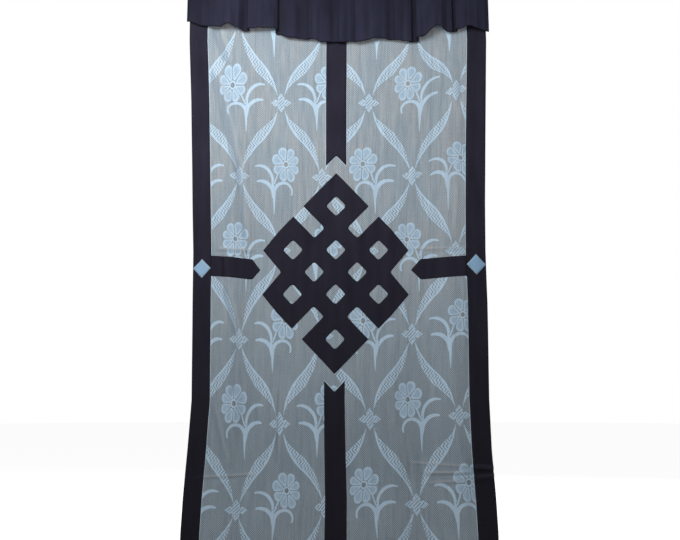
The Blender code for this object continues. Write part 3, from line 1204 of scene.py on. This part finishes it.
def sheer_material():
    material, tree, shader = new_material("sheer_jacquard_finish", roughness=0.75, sheen=0.06)
    across, drop = uv_wires(tree, "cloth")
    motif, shade = jacquard(tree)
    fine, streaks, weft, grain, clouds = noises(across, drop, SHEER_NOISES)
    low = drop.rise(0.50, 1.60)
    threads = (fine * 0.38 + streaks * 0.28 + weft * 0.12 + grain * 0.22).rise(0.60, 0.38) * 0.85
    threads = threads.most(warp_lines(across, drop) * 0.9)
    layers = (
        (clouds.rise(0.38, 0.62), SHEER_WARM),
        # painted shade: the ground darker towards the bottom
        (low * (clouds * 0.7 + 0.45), SHEER_LOW_SHADE),
        (threads, SHEER_DARK),
        (seams(across, drop) * 0.8, SEAM),
    )
    ground = layered(tree, SHEER_GROUND, layers)
    satin = mix_colours(tree, shade * (0.6 + 0.5 * grain) + threads * 0.35, MOTIF, MOTIF_SHADE)
    colour = mix_colours(tree, motif, ground, satin)
    # painted highlight on the ridges of drag folds and creases, and painted shade in their troughs
    colour = crease_colours(tree, colour, "drag", SHEER_CREASES["drag"], DRAG_HIGHLIGHT, DRAG_SHADE)
    colour = crease_colours(tree, colour, "crease", SHEER_CREASES["crease"], CREASE_HIGHLIGHT, SHEER_DARK)
    tree.links.new(colour, shader.inputs["Base Color"])

    hemmed = drop.rise(LENGTH - HEM - 0.0004, LENGTH - HEM)
    weave = OPACITY["ground"] + OPACITY["threads"] * threads + OPACITY["low"] * low
    weave = weave.most(hemmed * OPACITY["hem"])
    tree.links.new((weave + (OPACITY["motif"] - weave) * motif).socket, shader.inputs["Alpha"])
    tree.links.new((0.82 - motif * 0.22).socket, shader.inputs["Roughness"])
    height = weave_height(across, drop, SHEER_YARN) * 0.12 + fine * 0.2 + motif * 0.5 + hemmed
    add_bump(tree, shader, height, strength=0.4, depth=0.0004)
    return material


def cloth_material(name, middle, deep_and_shade, worn_and_highlight, yarn, stitch_inset, rim):
    """A plain woven cloth with a darker band along its edge, its pale rim, a row of stitches and slight wear,
    painted shade towards the bottom, in tucks, valleys and crease troughs, and a painted highlight on crease
    ridges.
    """
    material, tree, shader = new_material(name, roughness=0.9, sheen=0.03)
    across, drop = uv_wires(tree, "cloth")
    edge = attribute_wire(tree, "edge")
    thread = stitches(edge, attribute_wire(tree, "run"), stitch_inset)
    clouds, slubs, cross_slubs, specks = noises(across, drop, CLOTH_NOISES)
    wear = clouds.rise(0.45, 0.75) * 0.35 + slubs.rise(0.55, 0.80) * 0.4 + cross_slubs.rise(0.6, 0.8) * 0.25
    layers = (
        (wear, worn_and_highlight),
        # painted shade: darker towards the bottom
        (drop.rise(0.5, 1.7) * 0.8, deep_and_shade),
        (edge.rise(0.0030, 0.0008) * 0.75 + clouds.rise(0.5, 0.25) * 0.35, deep_and_shade),
        (thread * 0.5 + specks.rise(0.74, 0.80) * 0.5, worn_and_highlight),
    )
    colour = layered(tree, middle, layers)
    # painted highlight on the ridges of creases and drag folds, and painted shade in their troughs
    for crease, shows in CLOTH_CREASES.items():
        colour = crease_colours(tree, colour, crease, shows, worn_and_highlight, deep_and_shade)
    # painted shade in the valance's tucks and valleys
    tuck_and_valley_shade = attribute_wire(tree, "fold").rise(0.1, 0.7).most(attribute_wire(tree, "valley_shade") * 0.55)
    colour = layered(tree, colour, ((edge.rise(0.0014, 0.0006) * rim, SEAM), (tuck_and_valley_shade, deep_and_shade)))
    tree.links.new(colour, shader.inputs["Base Color"])
    tree.links.new((0.92 - slubs * 0.2).socket, shader.inputs["Roughness"])
    dent = abs(edge - stitch_inset).rise(0.0015, 0.0)
    height = weave_height(across, drop, yarn) * 0.25 + slubs * 0.3 + clouds * 1.2 + thread * 0.6 - dent * 0.8
    add_bump(tree, shader, height, strength=0.6, depth=0.0006)
    return material


# Camera, light and room


def add_camera():
    data = bpy.data.cameras.new("camera")
    data.sensor_width = SENSOR
    data.lens = FOCAL_PIXELS / PICTURE_WIDE * SENSOR
    camera = new_object("camera", data)
    pitch = math.radians(CAMERA_PITCH)
    top_ray = pitch + math.atan(HALF_PICTURE / FOCAL_PIXELS)
    height = -PICTURE_TOP_DROP - CAMERA_AWAY * math.tan(top_ray)
    camera.location = (CAMERA_ACROSS, -CAMERA_AWAY, height)
    camera.rotation_euler = (math.pi / 2 + pitch, 0, 0)
    bpy.context.scene.camera = camera


def add_area_light(name, place, target, size, power, colour):
    data = bpy.data.lights.new(name, "AREA")
    data.shape = "RECTANGLE"
    data.size, data.size_y = size
    data.energy = power
    data.color = colour
    light = new_object(name, data)
    light.location = place
    light.rotation_euler = (Vector(target) - Vector(place)).to_track_quat("-Z", "Y").to_euler()
    light.visible_camera = False


def add_lights():
    for row in LIGHTS:
        add_area_light(*row)
    world = bpy.data.worlds.new("room")
    world.use_nodes = True
    background = world.node_tree.nodes["Background"]
    background.inputs["Color"].default_value = (1.0, 1.0, 1.0, 1.0)
    background.inputs["Strength"].default_value = ROOM_GLOW
    bpy.context.scene.world = world


def set_glow(shader, grey, glow):
    """A grey base with a white glow."""
    shader.inputs["Base Color"].default_value = (grey, grey, grey, 1.0)
    shader.inputs["Emission Color"].default_value = (1.0, 1.0, 1.0, 1.0)
    shader.inputs["Emission Strength"].default_value = glow


def add_backdrop():
    """A plain white dome far behind everything, which lights nothing."""
    bpy.ops.mesh.primitive_uv_sphere_add(segments=64, ring_count=32, radius=DOME_RADIUS)
    dome = bpy.context.object
    dome.name = "backdrop"
    material, _, shader = new_material("backdrop_finish", roughness=0.5, sheen=0.0)
    shader.inputs["Specular IOR Level"].default_value = 0.0
    set_glow(shader, grey=0.0, glow=1.0)
    dome.data.materials.append(material)
    dome.visible_diffuse = False
    dome.visible_glossy = False
    dome.visible_transmission = False
    dome.visible_volume_scatter = False
    dome.visible_shadow = False
    dome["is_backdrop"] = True


def add_floor():
    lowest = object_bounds()[0].z
    bpy.ops.mesh.primitive_plane_add(size=FLOOR_SIZE, location=(0, 0, lowest - FLOOR_BELOW))
    floor = bpy.context.object
    floor.name = "floor"
    material, _, shader = new_material("floor_finish", roughness=0.9, sheen=0.0)
    set_glow(shader, FLOOR_GREY, FLOOR_GLOW)
    floor.data.materials.append(material)
    floor.visible_diffuse = False
    floor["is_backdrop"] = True


# Putting it together


def dress(made, node):
    piece, flat, area = made
    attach(piece, "root")
    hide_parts(node)


def main():
    sheer = sheer_material()
    navy = cloth_material("navy_cloth_finish", *NAVY)
    heading = cloth_material("valance_cloth_finish", *HEADING)
    patch = cloth_material("pale_blue_cloth_finish", *PATCH)

    inner_left, inner_right = WIDTH / 2 - BORDER_LEFT, WIDTH / 2 - BORDER_RIGHT
    upper, lower = UPPER_NOTCH, LOWER_NOTCH
    dress(sheer_panel(sheer), "sheer_panel")
    on_sheer = {
        "border_left": border("left_border_cloth", -WIDTH / 2, -inner_left, navy),
        "border_right": border("right_border_cloth", inner_right, WIDTH / 2, navy),
        "centre_band_upper": notched_band("upper_band_cloth", 0.0, upper["apex"], upper, True, navy),
        "centre_band_lower": notched_band("lower_band_cloth", lower["apex"], LENGTH, lower, False, navy),
        "endless_knot": endless_knot(navy),
        "arm_left": arm("left_arm_cloth", -1, inner_left, navy),
        "arm_right": arm("right_arm_cloth", 1, inner_right, navy),
    }
    for node, made in on_sheer.items():
        dress(made, node)
    left = diamond("left_patch", BORDER_LEFT / 2 - WIDTH / 2, DIAMOND_DROP["left"], BORDER_LEFT, patch)
    dress(left, "diamond_left")
    right = diamond("right_patch", WIDTH / 2 - BORDER_RIGHT / 2, DIAMOND_DROP["right"], BORDER_RIGHT, patch)
    dress(right, "diamond_right")
    dress(valance(heading), "valance")

    add_camera()
    add_lights()
    add_backdrop()
    add_floor()
    bpy.context.scene.view_settings.view_transform = "Standard"


main()
